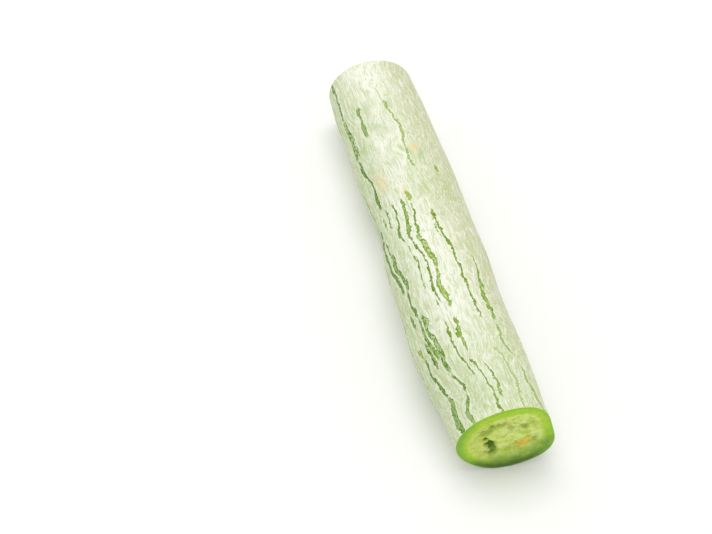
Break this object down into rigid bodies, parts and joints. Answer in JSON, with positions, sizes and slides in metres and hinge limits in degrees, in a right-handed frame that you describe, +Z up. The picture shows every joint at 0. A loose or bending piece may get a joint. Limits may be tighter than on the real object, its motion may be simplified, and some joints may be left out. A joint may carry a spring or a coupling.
{
  "type": "snake gourd",
  "caption": "Length of fresh snake gourd, cut across at both ends and lying on its side, with pale green-striped skin and a seeded yellow-green core.",
  "frame": {"origin": "bottom centre of the bounding box, on the surface that the gourd lies on", "axes": "+Y along the gourd, from its broader cut face towards its narrower one; +Z up; +X to the right of someone looking at the broader cut face"},
  "size_m": [0.0572, 0.2604, 0.0549],
  "materials": {
    "gourd_skin": "satin, waxy pale bloom over green-striped skin, with moist cut faces"
  },
  "bodies": {
    "root": {"snake_gourd": "gourd_skin"}
  },
  "joints": []
}
